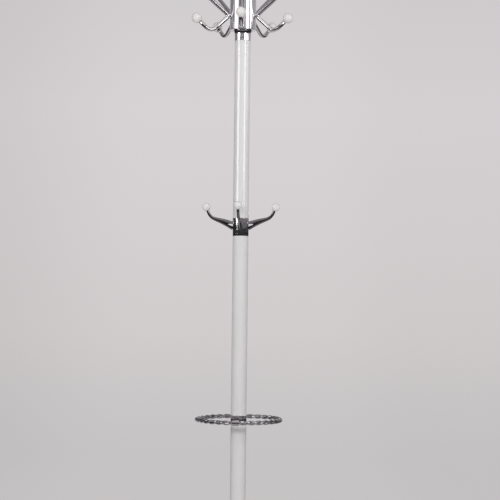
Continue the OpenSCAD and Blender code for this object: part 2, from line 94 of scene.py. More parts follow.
class Shader:
    # One material or world, built node by node
    def __init__(self, owner):
        owner.use_nodes = True
        self.owner = owner
        self.tree = owner.node_tree
        self.tree.nodes.clear()

    def node(self, kind, settings=None, values=None):
        made = self.tree.nodes.new("ShaderNode" + kind)
        for key, value in (settings or {}).items():
            if key == "stops":
                ramp = made.color_ramp
                while len(ramp.elements) < len(value):
                    ramp.elements.new(0.5)
                for element, (place, tint) in zip(ramp.elements, value):
                    element.position = place
                    element.color = colour(1.0, tint)
            else:
                setattr(made, key, value)
        for key, value in (values or {}).items():
            if isinstance(value, Wire):
                self.tree.links.new(value.socket, made.inputs[key])
            else:
                made.inputs[key].default_value = value
        return Outputs(self, made)


def newMaterial(name):
    return Shader(bpy.data.materials.new(name))


def surface(shader, values):
    # The principled shader and the material's output
    principled = shader.node("BsdfPrincipled", values=values)
    shader.node("OutputMaterial", values={"Surface": principled["BSDF"]})
    return shader.owner


def colour(tone, tint=(1.0, 1.0, 1.0)):
    # An opaque colour: a tone, tinted
    return tuple(tone * share for share in tint) + (1.0,)


def blend(shader, share, first, second):
    # A Mix node's third result is the one for colours
    return shader.node("Mix", {"data_type": "RGBA"}, {"Factor": share, "A": first, "B": second})[2]


def bumped(shader, strength, distance, height):
    values = {"Strength": strength, "Distance": distance, "Height": height}
    return shader.node("Bump", values=values)["Normal"]


def stretched(shader, place, across, upwards):
    # Coordinates for marks that run round the pole, or along it
    return shader.node("Mapping", values={"Vector": place, "Scale": (across, across, upwards)})["Vector"]


def noise(shader, place, scale, detail=3.0, roughness=0.5):
    values = {"Vector": place, "Scale": scale, "Detail": detail, "Roughness": roughness}
    return shader.node("TexNoise", values=values)["Fac"]


def between(shader, value, low, high):
    # 0 below the low value, 1 above the high one, smooth between them
    return shader.node(
        "MapRange", {"interpolation_type": "SMOOTHSTEP"}, {"Value": value, "From Min": low, "From Max": high}
    )["Result"]


chromeLook = {
    "tone": 0.84, "tint": (1.0, 0.975, 1.0), "dulled": 0.93,
    "roughness": 0.035, "haze": 0.04, "scratches": 0.04, "waves": 0.05,
}
wornLook = {
    "tone": 0.52, "tint": (1.0, 0.965, 1.0), "dulled": 0.5,
    "roughness": 0.03, "haze": 0.03, "scratches": 0.02, "waves": 0.10,
}
castLook = {
    "tone": 0.26, "tint": (1.0, 0.96, 1.0), "dulled": 0.85,
    "roughness": 0.14, "haze": 0.08, "scratches": 0.05, "waves": 0.12,
}
plating = {"patchScale": 31.0, "wipingRound": 260.0, "wipingUp": 2200.0, "waveScale": 120.0}


def chromePlate(name, look):
    # Mirror plate: cloudy patches where it is handled, fine wiping marks, and a slow wave in the metal
    shader = newMaterial(name)
    place = shader.node("TexCoord")["Object"]
    patches = between(shader, noise(shader, place, plating["patchScale"], 5.0), 0.42, 0.68)
    wiped = stretched(shader, place, plating["wipingRound"], plating["wipingUp"])
    wiping = between(shader, noise(shader, wiped, 1.0, 3.0), 0.55, 0.75)
    waves = noise(shader, place, plating["waveScale"], 1.0)
    bright = colour(look["tone"], look["tint"])
    dull = colour(look["tone"] * look["dulled"], look["tint"])
    return surface(shader, {
        "Base Color": blend(shader, patches, bright, dull),
        "Metallic": 1.0,
        "Roughness": look["roughness"] + patches * look["haze"] + wiping * look["scratches"],
        "Normal": bumped(shader, look["waves"], 0.6 * mm, waves + wiping * 0.08),
    })


lacquerLook = {
    "tone": 0.835, "tint": (1.0, 0.99, 0.985), "aged": 0.97,
    "roughness": 0.34, "uneven": 0.08, "peel": 0.02,
    "underCoat": 0.15, "coat": 1.0, "coatGloss": 1.66, "coatRoughness": 0.06,
    "cloudScale": 7.0, "markRound": 190.0, "markUp": 14.0, "peelScale": 240.0,
}


def whiteLacquer():
    # Sprayed lacquer: slow changes of tone, orange peel, and faint marks along the pole
    look = lacquerLook
    shader = newMaterial("whiteLacquer")
    place = shader.node("TexCoord")["Object"]
    cloud = between(shader, noise(shader, place, look["cloudScale"], 5.0), 0.3, 0.7)
    marked = stretched(shader, place, look["markRound"], look["markUp"])
    marks = between(shader, noise(shader, marked, 1.0, 4.0), 0.6, 0.8)
    peel = noise(shader, place, look["peelScale"], 0.0)
    fresh = colour(look["tone"], look["tint"])
    aged = colour(look["tone"] * look["aged"], look["tint"])
    return surface(shader, {
        "Base Color": blend(shader, cloud * 0.8 + marks * 0.2, fresh, aged),
        "Roughness": look["roughness"] + cloud * look["uneven"] - marks * 0.06,
        "Specular IOR Level": look["underCoat"],
        "Coat Weight": look["coat"],
        "Coat IOR": look["coatGloss"],
        "Coat Roughness": look["coatRoughness"],
        "Normal": bumped(shader, look["peel"], 0.3 * mm, peel),
    })


knobLook = {
    "tone": 0.86, "tint": (1.0, 0.985, 0.975), "yellowed": (0.94, 0.92, 0.89),
    "roughness": 0.36, "coat": 0.25, "coatRoughness": 0.12, "waves": 0.02,
    "patchScale": 55.0, "rubbedScale": 170.0, "waveScale": 130.0,
}


def knobPlastic():
    # Turned white plastic: a little yellowed in patches, dull where coats have rubbed it
    look = knobLook
    shader = newMaterial("knobPlastic")
    place = shader.node("TexCoord")["Object"]
    patches = between(shader, noise(shader, place, look["patchScale"], 4.0), 0.45, 0.75)
    rubbed = noise(shader, place, look["rubbedScale"], 3.0)
    waves = noise(shader, place, look["waveScale"], 0.0)
    fresh = colour(look["tone"], look["tint"])
    yellowed = colour(look["tone"], look["yellowed"])
    return surface(shader, {
        "Base Color": blend(shader, patches * 0.35, fresh, yellowed),
        "Roughness": look["roughness"] + rubbed * 0.14,
        "Coat Weight": look["coat"],
        "Coat Roughness": look["coatRoughness"],
        "Normal": bumped(shader, look["waves"], 0.2 * mm, waves),
    })


steelLook = {
    "tone": 0.52, "tint": (0.98, 0.99, 1.0), "dark": 0.40, "roughness": 0.30, "turning": 0.15,
    "crystalScale": 320.0, "turningRound": 60.0, "turningUp": 2600.0,
}


def zincSteel():
    # Zinc-plated steel: crystals of the plating, turning marks round each part
    look = steelLook
    shader = newMaterial("zincSteel")
    place = shader.node("TexCoord")["Object"]
    crystals = shader.node("TexVoronoi", values={"Vector": place, "Scale": look["crystalScale"]})["Color"]
    crystal = shader.node("SeparateColor", values={"Color": crystals})["Red"]
    turned = noise(shader, stretched(shader, place, look["turningRound"], look["turningUp"]), 1.0, 2.0)
    bright = colour(look["tone"], look["tint"])
    dark = colour(look["dark"], look["tint"])
    return surface(shader, {
        "Base Color": blend(shader, crystal, bright, dark),
        "Metallic": 1.0,
        "Roughness": look["roughness"] + crystal * 0.12,
        "Normal": bumped(shader, look["turning"], 0.2 * mm, turned),
    })


rubberLook = {
    "tone": 0.022, "dusty": 0.05, "dustTint": (1.0, 0.97, 0.93), "roughness": 0.72, "grain": 0.25,
    "dustScale": 90.0, "grainScale": 1500.0,
}


def blackRubber():
    # Moulded rubber with a fine grain and some dust
    look = rubberLook
    shader = newMaterial("blackRubber")
    place = shader.node("TexCoord")["Object"]
    dust = between(shader, noise(shader, place, look["dustScale"], 5.0), 0.45, 0.8)
    grain = noise(shader, place, look["grainScale"], 2.0)
    clean = colour(look["tone"])
    dusty = colour(look["dusty"], look["dustTint"])
    return surface(shader, {
        "Base Color": blend(shader, dust, clean, dusty),
        "Roughness": look["roughness"] + dust * 0.15,
        "Normal": bumped(shader, look["grain"], 0.3 * mm, grain),
    })


materials = {
    "chrome": chromePlate("chromePlate", chromeLook),
    "white_lacquer": whiteLacquer(),
    "white_knob": knobPlastic(),
    "bare_steel": zincSteel(),
    "black_rubber": blackRubber(),
}
castPlate = chromePlate("castPlate", castLook)
wornPlate = chromePlate("wornPlate", wornLook)
slotOf = {part["node"]: part["material_slot"] for part in frame["record"]["subparts"]}
for name, node in cadNodes.items():
    node.data.materials.clear()
    node.data.materials.append(materials[slotOf[name]])
print("materials made, and given to", len(cadNodes), "nodes")


def unit(v):
    return v / np.linalg.norm(v, axis=-1, keepdims=True)


def rounded(corners, radii, steps=8, support=0.25 * mm):
    # An outline whose corners are arcs: each arc is a turn from one tangent point to the other
    # about its centre, sin((1-t)w) a + sin(tw) b over sin(w), with a point a little way past
    # each end that keeps the straight stretch straight. A radius of 0 keeps the corner.
    corners = np.array(corners, float)
    radii = np.array(radii, float)[:, None]
    before = unit(np.roll(corners, 1, 0) - corners)
    after = unit(np.roll(corners, -1, 0) - corners)
    middle = unit(before + after + 1e-12)
    half = np.arccos(np.clip((before * after).sum(-1, keepdims=True), -1, 1)) / 2
    cut = radii / np.tan(half)
    centre = corners + middle * radii / np.sin(half)
    start = corners + before * cut - centre
    end = corners + after * cut - centre
    swing = np.maximum(pi - 2 * half, 1e-6)[:, None]
    t = np.linspace(0.0, 1.0, steps + 1)[None, :, None]
    arcs = (np.sin((1 - t) * swing) * start[:, None] + np.sin(t * swing) * end[:, None]) / np.sin(swing)
    lead = before[:, None] * support * (radii > 0)[:, None]
    tail = after[:, None] * support * (radii > 0)[:, None]
    arcs = np.concatenate([arcs[:, :1] + lead, arcs, arcs[:, -1:] + tail], 1) + centre[:, None]
    line = arcs.reshape(-1, corners.shape[1])
    return line[np.linalg.norm(line - np.roll(line, 1, 0), axis=-1) > 1e-7]


def gridFaces(grid, wrapRows=False, wrapColumns=True, offset=0):
    # Four-sided faces between the neighbouring points of a grid
    rows, columns = grid.shape[:2]
    index = offset + np.arange(rows * columns).reshape(rows, columns)
    if wrapColumns:
        index = np.hstack([index, index[:, :1]])
    if wrapRows:
        index = np.vstack([index, index[:1]])
    return np.stack([index[:-1, :-1], index[:-1, 1:], index[1:, 1:], index[1:, :-1]], -1).reshape(-1, 4)


def meshOf(name, grids, wrapRows=False):
    # One mesh of one or more grids of points, each closed round its columns, and round its rows
    # where it wraps; where it doesn't, its first and last rows are single points
    offsets = np.cumsum([0] + [grid.shape[0] * grid.shape[1] for grid in grids])
    points = np.concatenate([grid.reshape(-1, 3) for grid in grids])
    faces = np.concatenate([
        gridFaces(grid, wrapRows, offset=offset) for grid, offset in zip(grids, offsets)
    ])
    mesh = bpy.data.meshes.new(name)
    mesh.from_pydata(points.tolist(), [], faces.tolist())
    work = bmesh.new()
    work.from_mesh(mesh)
    bmesh.ops.remove_doubles(work, verts=work.verts, dist=1e-7)
    bmesh.ops.dissolve_degenerate(work, edges=work.edges, dist=1e-8)
    bmesh.ops.recalc_face_normals(work, faces=work.faces)
    work.to_mesh(mesh)
    work.free()
    mesh.shade_smooth()
    return mesh


def addObject(name, data):
    made = bpy.data.objects.new(name, data)
    bpy.context.scene.collection.objects.link(made)
    return made


def dress(name, mesh, node, finish=None):
    # A piece that takes the place of a CAD node, with the finish of the node's slot unless it has its own
    piece = addObject(name, mesh)
    mesh.materials.clear()
    mesh.materials.append(finish or materials[slotOf[node]])
    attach(piece, "root")
    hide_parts(node)


def boxOf(node):
    low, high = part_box(node)
    return np.array(low), np.array(high)


def radial(angle):
    # Outwards, sideways and up, for what stands at an angle from the front, towards the right
    out = np.array([sin(angle), -cos(angle), 0.0])
    side = np.array([cos(angle), sin(angle), 0.0])
    return out, side, np.array([0.0, 0.0, 1.0])


def lathe(profile, sides=128, centre=(0.0, 0.0, 0.0), axis=(0.0, 0.0, 1.0)):
    # A profile of radius and height turned once round an axis through the centre
    axis = unit(np.array(axis, float))
    other = (0.0, 1.0, 0.0) if abs(axis[1]) < 0.9 else (1.0, 0.0, 0.0)
    across = unit(np.cross(axis, other))
    along = np.cross(axis, across)
    turn = np.linspace(0.0, 2 * pi, sides, endpoint=False)
    circle = np.cos(turn)[:, None] * across + np.sin(turn)[:, None] * along
    profile = np.array(profile, float)
    return np.array(centre) + profile[:, 0, None, None] * circle + profile[:, 1, None, None] * axis


def sweep(path, radius, side, sides=32):
    # A round section at each point of a path that lies in one plane, whose sideways direction is
    # given; the ends close on the path
    ahead = unit(np.roll(path, -1, 0) - path)
    behind = unit(path - np.roll(path, 1, 0))
    ahead[-1] = behind[-1]
    behind[0] = ahead[0]
    over = np.cross(unit(ahead + behind), side)
    turn = np.linspace(0.0, 2 * pi, sides, endpoint=False)[None, :, None]
    body = path[:, None] + radius * (np.cos(turn) * over[:, None] + np.sin(turn) * side)
    ends = np.ones((1, sides, 1))
    return np.concatenate([path[0] * ends, body, path[-1] * ends])


def ballOf(node):
    # Middle and radius of a ball, from the box of its node; its lowest point may be drilled away
    low, high = boxOf(node)
    radius = (high[0] - low[0]) / 2
    return np.array([(low[0] + high[0]) / 2, (low[1] + high[1]) / 2, high[2] - radius]), radius


collarShape = {"edge": 0.6 * mm, "bore": 18.6 * mm, "boreEdge": 0.2 * mm}


def tubeWall(node, bore, edge, boreEdge):
    # A tube as tall as its node, with rounded edges
    low, high = boxOf(node)
    corners = [(bore, low[2]), (high[0], low[2]), (high[0], high[2]), (bore, high[2])]
    return lathe(rounded(corners, [boreEdge, edge, edge, boreEdge]))


for name, node in (
    ("footCollar", "foot_collar"), ("ringCollar", "ring_collar"), ("middleCollar", "middle_collar"),
):
    grid = tubeWall(node, collarShape["bore"], collarShape["edge"], collarShape["boreEdge"])
    dress(name, meshOf(name, [grid], wrapRows=True), node)

neckShape = {"flare": 2.8 * mm, "flareHeight": 9.0 * mm, "lip": 1.5 * mm}


def neckProfile():
    # A collar that opens out under the hub: the radius grows with the square of the way up the
    # flare, and the lip above it stands upright
    low, high = boxOf("neck_collar")
    share = np.linspace(0.0, 1.0, 14)
    start = high[2] - neckShape["lip"] - neckShape["flareHeight"]
    reach = high[0] + neckShape["flare"] * share ** 2
    flare = np.stack([reach, start + neckShape["flareHeight"] * share], -1)
    outline = np.vstack([
        [(collarShape["bore"], low[2]), (high[0], low[2])], flare,
        [(high[0] + neckShape["flare"], high[2]), (collarShape["bore"], high[2])],
    ])
    edges = [collarShape["boreEdge"], collarShape["edge"]] + [0.0] * len(flare)
    return rounded(outline, edges + [collarShape["edge"], collarShape["boreEdge"]])


dress("neckCollar", meshOf("neckCollar", [lathe(neckProfile())], wrapRows=True), "neck_collar")

hubShape = {
    "wall": 2.0 * mm, "edge": 0.9 * mm, "boreEdge": 0.3 * mm, "floorBore": 18.5 * mm, "floorEdge": 0.6 * mm,
    "capEdge": 3.0 * mm, "capRise": 7.0 * mm, "capRound": 1.2 * mm, "capFoot": 0.4 * mm,
    "domeInset": 4.0 * mm, "skirt": 10.0 * mm, "skirtGap": 0.1 * mm, "skirtEdge": 0.3 * mm,
}
hubLow, hubHigh = boxOf("hub_shell")
hubRadius = hubHigh[0]
shellGrid = tubeWall("hub_shell", hubRadius - hubShape["wall"], hubShape["edge"], hubShape["boreEdge"])
dress("hubShell", meshOf("hubShell", [shellGrid], wrapRows=True), "hub_shell")
floorGrid = tubeWall("hub_floor", hubShape["floorBore"], hubShape["floorEdge"], hubShape["boreEdge"])
dress("hubFloor", meshOf("hubFloor", [floorGrid], wrapRows=True), "hub_floor")


def capProfile():
    # A dome, r = R sin a and z = top - R (1 - cos a), down to a short upright edge and a skirt
    rise = hubShape["capRise"]
    domeRadius = (hubRadius ** 2 + rise ** 2) / (2 * rise)
    top = hubHigh[2] + hubShape["capEdge"] + rise
    a = np.linspace(0.0, asin((hubRadius - hubShape["domeInset"]) / domeRadius), 24)
    dome = np.stack([domeRadius * np.sin(a), top - domeRadius * (1 - np.cos(a))], -1)
    skirtOut = hubRadius - hubShape["wall"] - hubShape["skirtGap"]
    skirtIn = skirtOut - hubShape["wall"]
    rest = np.array([
        (hubRadius, hubHigh[2] + hubShape["capEdge"]), (hubRadius, hubHigh[2]),
        (skirtOut, hubHigh[2]), (skirtOut, hubHigh[2] - hubShape["skirt"]),
        (skirtIn, hubHigh[2] - hubShape["skirt"]), (skirtIn, hubHigh[2]), (0.0, hubHigh[2]),
    ])
    edge = hubShape["skirtEdge"]
    edges = [hubShape["capRound"], hubShape["capFoot"], 0.0, edge, edge, 0.0, 0.0]
    return rounded(np.concatenate([dome, rest]), [0.0] * len(dome) + edges)


dress("hubCap", meshOf("hubCap", [lathe(capProfile())]), "hub_cap")

screwShape = {
    "head": 10.0 * mm, "dome": 3.0 * mm, "slotWidth": 1.2 * mm, "slotDepth": 1.2 * mm,
    "slotEdge": 0.15 * mm, "rim": 0.1 * mm, "shank": 5.0 * mm, "shankLength": 4.0 * mm,
}


def screwGrid(node):
    # The head is a height over a disc: a dome less a straight slot with soft sides. Below it the
    # rim turns in to the shank.
    low, high = boxOf(node)
    middle = (low + high) / 2
    angle = atan2(middle[0], -middle[1])
    out, side, up = radial(angle)
    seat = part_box("neck_collar")[1][0]
    headRadius = screwShape["head"] / 2
    domeRadius = (headRadius ** 2 + screwShape["dome"] ** 2) / (2 * screwShape["dome"])
    distance = np.linspace(0.0, headRadius, 90)[:, None]
    turn = np.linspace(0.0, 2 * pi, 180, endpoint=False)[None, :]
    across = distance * np.sin(turn)
    height = screwShape["dome"] - domeRadius + np.sqrt(domeRadius ** 2 - distance ** 2) + 0 * across
    slotHalf = screwShape["slotWidth"] / 2
    inSlot = np.clip((slotHalf + screwShape["slotEdge"] - abs(across)) / screwShape["slotEdge"], 0, 1)
    inSlot = inSlot ** 2 * (3 - 2 * inSlot)
    floor = screwShape["dome"] - screwShape["slotDepth"]
    height = height * (1 - inSlot) + np.minimum(height, floor) * inSlot
    head = np.stack([distance * np.cos(turn), across, height + seat], -1)
    shank = screwShape["shank"] / 2
    end = -screwShape["shankLength"]
    below = np.array([(headRadius - screwShape["rim"], 0.0), (shank, 0.0), (shank, end), (0.0, end)])
    circle = np.stack([np.cos(turn[0]), np.sin(turn[0])], -1)
    rest = np.concatenate([
        below[:, :1, None] * circle[None], np.repeat(below[:, 1:, None] + seat, len(circle), 1),
    ], -1)
    flat = np.concatenate([head, rest])
    return flat[..., :1] * side + flat[..., 1:2] * up + flat[..., 2:] * out + np.array([0.0, 0.0, middle[2]])


dress("neckScrew", meshOf("neckScrew", [screwGrid("neck_screw")]), "neck_screw")

padShape = {"count": 6, "radius": 9.0 * mm, "edge": 1.4 * mm, "topEdge": 0.3 * mm}


def padGrids():
    # Discs with a rounded lower edge, evenly spaced under the rim
    low, high = boxOf("floor_pads")
    radius = padShape["radius"]
    ring = high[1] - radius
    turns = np.arange(padShape["count"]) * 2 * pi / padShape["count"]
    corners = [(0.0, high[2]), (radius, high[2]), (radius, low[2]), (0.0, low[2])]
    profile = rounded(corners, [0.0, padShape["topEdge"], padShape["edge"], 0.0])
    return [lathe(profile, 64, centre=(ring * sin(a), -ring * cos(a), 0.0)) for a in turns]


dress("floorPads", meshOf("floorPads", padGrids()), "floor_pads")
print("collars, hub and pads made")

ringShape = {"strand": 3.6 * mm, "twist": 2.1 * mm, "turns": 16, "steps": 640, "sides": 18}
ringLow, ringHigh = boxOf("umbrella_ring")
ringHeight = (ringLow[2] + ringHigh[2]) / 2
ropeRadius = ringShape["strand"] + ringShape["twist"]
ringRadius = ringHigh[0] - ropeRadius


def twistedRod(phase):
    # A rod whose middle circles the rope's middle as it goes round the ring: at an angle s it is
    # twist * cos(turns s + phase) outwards and twist * sin(turns s + phase) upwards. A circle
    # stands across its path at each step.
    s = np.linspace(0.0, 2 * pi, ringShape["steps"], endpoint=False)[:, None]
    w = ringShape["turns"] * s + phase
    outwards = np.hstack([np.cos(s), np.sin(s), 0 * s])
    upwards = np.array([0.0, 0.0, 1.0])
    lean = np.cos(w) * outwards + np.sin(w) * upwards
    path = ringRadius * outwards + ringShape["twist"] * lean + ringHeight * upwards
    way = unit(np.roll(path, -1, 0) - np.roll(path, 1, 0))
    first = unit(lean - (lean * way).sum(-1, keepdims=True) * way)
    second = np.cross(way, first)
    turn = np.linspace(0.0, 2 * pi, ringShape["sides"], endpoint=False)[None, :, None]
    circle = np.cos(turn) * first[:, None] + np.sin(turn) * second[:, None]
    return path[:, None] + ringShape["strand"] * circle


rope = meshOf("umbrellaRing", [twistedRod(0.0), twistedRod(pi)], wrapRows=True)
dress("umbrellaRing", rope, "umbrella_ring", wornPlate)

sleeveShape = {
    "length": 16.0 * mm, "gap": 0.3 * mm, "wall": 1.2 * mm, "edge": 0.5 * mm, "turn": radians(-4.0),
}


def sleeveGrid(angle):
    # A short tube bent along the ring: a wall section of distance from the rope's middle and
    # length along the ring, turned round the rope
    bore = ropeRadius + sleeveShape["gap"]
    outside = bore + sleeveShape["wall"]
    half = sleeveShape["length"] / 2
    corners = [(bore, -half), (outside, -half), (outside, half), (bore, half)]
    section = rounded(corners, [sleeveShape["edge"]] * 4)
    # More rows along the two long sides, so that they follow the bend
    gaps = np.linalg.norm(np.roll(section, -1, 0) - section, axis=-1)
    share = np.concatenate([[0.0], np.cumsum(gaps)])
    wanted = np.unique(np.concatenate([share, np.linspace(0.0, share[-1], 60)]))[:-1]
    closed = np.vstack([section, section[:1]])
    section = np.stack([np.interp(wanted, share, closed[:, k]) for k in (0, 1)], -1)
    turn = np.linspace(0.0, 2 * pi, 64, endpoint=False)[None, :]
    reach = ringRadius + section[:, :1] * np.cos(turn)
    height = ringHeight + section[:, :1] * np.sin(turn)
    place = angle + section[:, 1:] / ringRadius
    return np.stack([reach * np.sin(place), -reach * np.cos(place), height], -1)


sleeves = [sleeveGrid(sleeveShape["turn"]), sleeveGrid(sleeveShape["turn"] + pi)]
dress("ringSleeves", meshOf("ringSleeves", sleeves, wrapRows=True), "ring_sleeves", wornPlate)
print("umbrella ring made")


def ballGrid(centre, radius, way, bore, floor, lip):
    # A sphere from its far pole to a softened rim round a drilled hole, whose axis leaves the ball
    # along the way given; the hole's floor is a distance from the middle
    rim = sqrt(radius ** 2 - bore ** 2)
    last = asin(bore / radius) + 2.5 * lip / radius
    a = np.linspace(pi, last, 48)
    sphere = np.stack([radius * np.sin(a), radius * np.cos(a)], -1)
    hole = np.array([(bore, rim), (bore, floor), (0.0, floor)])
    radii = [0.0] * len(sphere) + [lip, 0.0, 0.0]
    return lathe(rounded(np.concatenate([sphere, hole]), radii), 96, centre, way)


hornShape = {
    "rootSink": 3.0 * mm, "rootDrop": 2.0 * mm, "forkRise": 4.0 * mm,
    "rootClimb": radians(27.0), "tipClimb": radians(70.0), "lead": 0.66, "pull": 0.38,
    "rootHeight": 21.0 * mm, "rootWidth": 9.0 * mm, "tip": 7.0 * mm, "taper": 2.4,
    "forkGap": 7.5 * mm, "forkLength": 9.5 * mm, "forkSlope": radians(17.0), "forkOver": 2.0 * mm,
    "crotch": 1.2 * mm, "crotchTurn": 1.4,
    "voxel": 0.42 * mm, "smoothing": 0.5, "smoothings": 10, "coreReach": 20.0 * mm,
    "pin": 5.0 * mm, "fit": 0.1 * mm, "lip": 0.4 * mm,
}
collarLow, collarHigh = boxOf("middle_collar")
collarRadius = collarHigh[0]
forkHeight = (collarLow[2] + collarHigh[2]) / 2 + hornShape["forkRise"]
tipWay = np.array([cos(hornShape["tipClimb"]), sin(hornShape["tipClimb"])])


def hornLine(knob, knobRadius):
    # A Bezier curve of radius and height, from inside the collar to the ball
    rootWay = np.array([cos(hornShape["rootClimb"]), sin(hornShape["rootClimb"])])
    root = np.array([collarRadius - hornShape["rootSink"], forkHeight - hornShape["rootDrop"]])
    tip = knob - sqrt(knobRadius ** 2 - (hornShape["tip"] / 2) ** 2) * tipWay
    span = np.linalg.norm(tip - root)
    lead = root + hornShape["lead"] * span * rootWay
    pull = tip - hornShape["pull"] * span * tipWay
    t = np.linspace(0.0, 1.0, 120)[:, None]
    line = (1 - t) ** 3 * root + 3 * (1 - t) ** 2 * t * lead + 3 * (1 - t) * t ** 2 * pull + t ** 3 * tip
    return t, line


def hornGrid(knob, knobRadius, angle):
    # Ovals across the line: their height falls from the fork to the tip with a power of the way
    # left, their width evenly; the last ones run on inside the ball
    t, line = hornLine(knob, knobRadius)
    t = np.vstack([t, [[1.0]]])
    line = np.vstack([line, line[-1] + hornShape["pin"] * tipWay])
    way = unit(np.gradient(line, axis=0))
    height = hornShape["tip"] + (hornShape["rootHeight"] - hornShape["tip"]) * (1 - t) ** hornShape["taper"]
    width = hornShape["tip"] + (hornShape["rootWidth"] - hornShape["tip"]) * (1 - t)
    turn = np.linspace(0.0, 2 * pi, 56, endpoint=False)[None, :]
    up = height / 2 * np.cos(turn)
    aside = width / 2 * np.sin(turn)
    reach = line[:, :1] - way[:, 1:] * up
    rise = line[:, 1:] + way[:, :1] * up
    out, side, upwards = radial(angle)
    body = reach[..., None] * out + aside[..., None] * side + rise[..., None] * upwards
    middle = line[:, :1, None] * out + line[:, 1:, None] * upwards
    ends = np.ones((1, body.shape[1], 1))
    return np.concatenate([middle[:1] * ends, body, middle[-1:] * ends])


def notchGrid(angle):
    # The fork's opening: straight sides from the collar to a small arc, drawn through the hook
    slope = hornShape["forkSlope"]
    length = hornShape["forkLength"]
    crotch = np.array([collarRadius + length, forkHeight + length * tan(slope)])
    inner = collarRadius - hornShape["rootSink"] - hornShape["forkOver"]
    a = slope + np.linspace(-hornShape["crotchTurn"], hornShape["crotchTurn"], 14)
    arc = crotch + hornShape["crotch"] * np.stack([np.cos(a), np.sin(a)], -1)
    gap = hornShape["forkGap"] / 2
    outline = np.vstack([[(inner, forkHeight + gap), (inner, forkHeight - gap)], arc])
    middle = outline.mean(0) * np.ones_like(outline)
    half = hornShape["rootWidth"]
    out, side, up = radial(angle)
    rows = [(middle, -half), (outline, -half), (outline, half), (middle, half)]
    return np.stack([line[:, :1] * out + line[:, 1:] * up + offset * side for line, offset in rows])


def applied(made):
    # The mesh of an object with its modifiers worked out
    return bpy.data.meshes.new_from_object(made.evaluated_get(bpy.context.evaluated_depsgraph_get()))


def spareObject(name, grid):
    return addObject(name, meshOf(name, [grid]))


def cutAway(made, tool):
    # A modifier that takes the tool's shape out of the object
    cut = made.modifiers.new(tool.name, "BOOLEAN")
    cut.operation = "DIFFERENCE"
    cut.solver = "EXACT"
    cut.object = tool


def castHook(knob, knobRadius, angle):
    # The horn less its notch, melted together and smoothed as a casting is, then cut to the collar
    horn = spareObject("horn", hornGrid(knob, knobRadius, angle))
    notch = spareObject("notch", notchGrid(angle))
    low = collarLow[2] - hornShape["coreReach"]
    high = collarHigh[2] + hornShape["coreReach"]
    barrel = [(0.0, low), (collarRadius, low), (collarRadius, high), (0.0, high)]
    core = spareObject("core", lathe(barrel, 256))
    cutAway(horn, notch)
    melted = horn.modifiers.new("melted", "REMESH")
    melted.mode = "VOXEL"
    melted.voxel_size = hornShape["voxel"]
    melted.use_smooth_shade = True
    smoothed = horn.modifiers.new("smoothed", "SMOOTH")
    smoothed.factor = hornShape["smoothing"]
    smoothed.iterations = hornShape["smoothings"]
    cutAway(horn, core)
    mesh = applied(horn)
    for spare in (horn, notch, core):
        bpy.data.objects.remove(spare)
    mesh.shade_smooth()
    return mesh


def turnedCopy(mesh, angle):
    # The same mesh turned round the pole
    copy = mesh.copy()
    points = np.empty(len(mesh.vertices) * 3)
    mesh.vertices.foreach_get("co", points)
    points = points.reshape(-1, 3)
    turn = np.array([[cos(angle), -sin(angle), 0.0], [sin(angle), cos(angle), 0.0], [0.0, 0.0, 1.0]])
    copy.vertices.foreach_set("co", (points @ turn.T).ravel())
    copy.update()
    return copy


def facing(place):
    # Radius, height and angle from the front of a point
    return np.array([hypot(place[0], place[1]), place[2]]), atan2(place[0], -place[1])


def standing(line, angle):
    # Points or directions of radius and height, at an angle from the front
    out, side, up = radial(angle)
    return line[..., :1] * out + line[..., 1:] * up


middleKnobs = sorted(name for name in cadNodes if name.startswith("middle_knob_"))
firstCentre, firstRadius = ballOf(middleKnobs[0])
firstKnob, firstAngle = facing(firstCentre)
firstHook = castHook(firstKnob, firstRadius, firstAngle)
for number, node in enumerate(middleKnobs, 1):
    centre, radius = ballOf(node)
    angle = facing(centre)[1]
    hook = turnedCopy(firstHook, angle - firstAngle)
    dress("middleHook%d" % number, hook, "middle_hook_%d" % number, castPlate)
    tip = hornShape["tip"] / 2
    depth = sqrt(radius ** 2 - tip ** 2) - hornShape["pin"]
    grid = ballGrid(centre, radius, -standing(tipWay, angle), tip + hornShape["fit"], depth, hornShape["lip"])
    dress("middleKnob%d" % number, meshOf("middleKnob%d" % number, [grid]), node)
print("middle hooks made:", len(firstHook.polygons), "faces each")

hookShape = {
    "rod": 10.0 * mm, "gap": 2.0 * mm, "jointRise": 35.0 * mm, "jointBend": 8.0 * mm,
    "coatFall": radians(43.0), "coatCorner": 82.5 * mm, "coatBend": 18.0 * mm,
    "hatClimb": radians(39.0), "hatElbow": 116.0 * mm, "hatBend": 30.0 * mm,
    "boss": 6.0 * mm, "flare": 1.2 * mm, "grip": 9.0 * mm, "fit": 0.1 * mm, "lip": 0.5 * mm,
    "bendSteps": 28,
}


def hookCorners(coatKnob, hatKnob):
    # Corners of the rod as radius and height, from the hat ball to the coat ball. The corner at
    # the hub lies so far out that the inside of its bend clears the hub by the gap.
    rod = hookShape["rod"] / 2
    bend = hookShape["jointBend"]
    turn = pi - hookShape["coatFall"] - hookShape["hatClimb"]
    lean = (hookShape["hatClimb"] - hookShape["coatFall"]) / 2
    reach = hubRadius + hookShape["gap"] + rod + bend - bend / cos(turn / 2) * cos(lean)
    joint = np.array([reach, hubLow[2] + hookShape["jointRise"]])
    coat = joint + (hookShape["coatCorner"] - reach) * np.array([1.0, -tan(hookShape["coatFall"])])
    hat = joint + (hookShape["hatElbow"] - reach) * np.array([1.0, tan(hookShape["hatClimb"])])
    return np.array([hatKnob, hat, joint, coat, coatKnob])


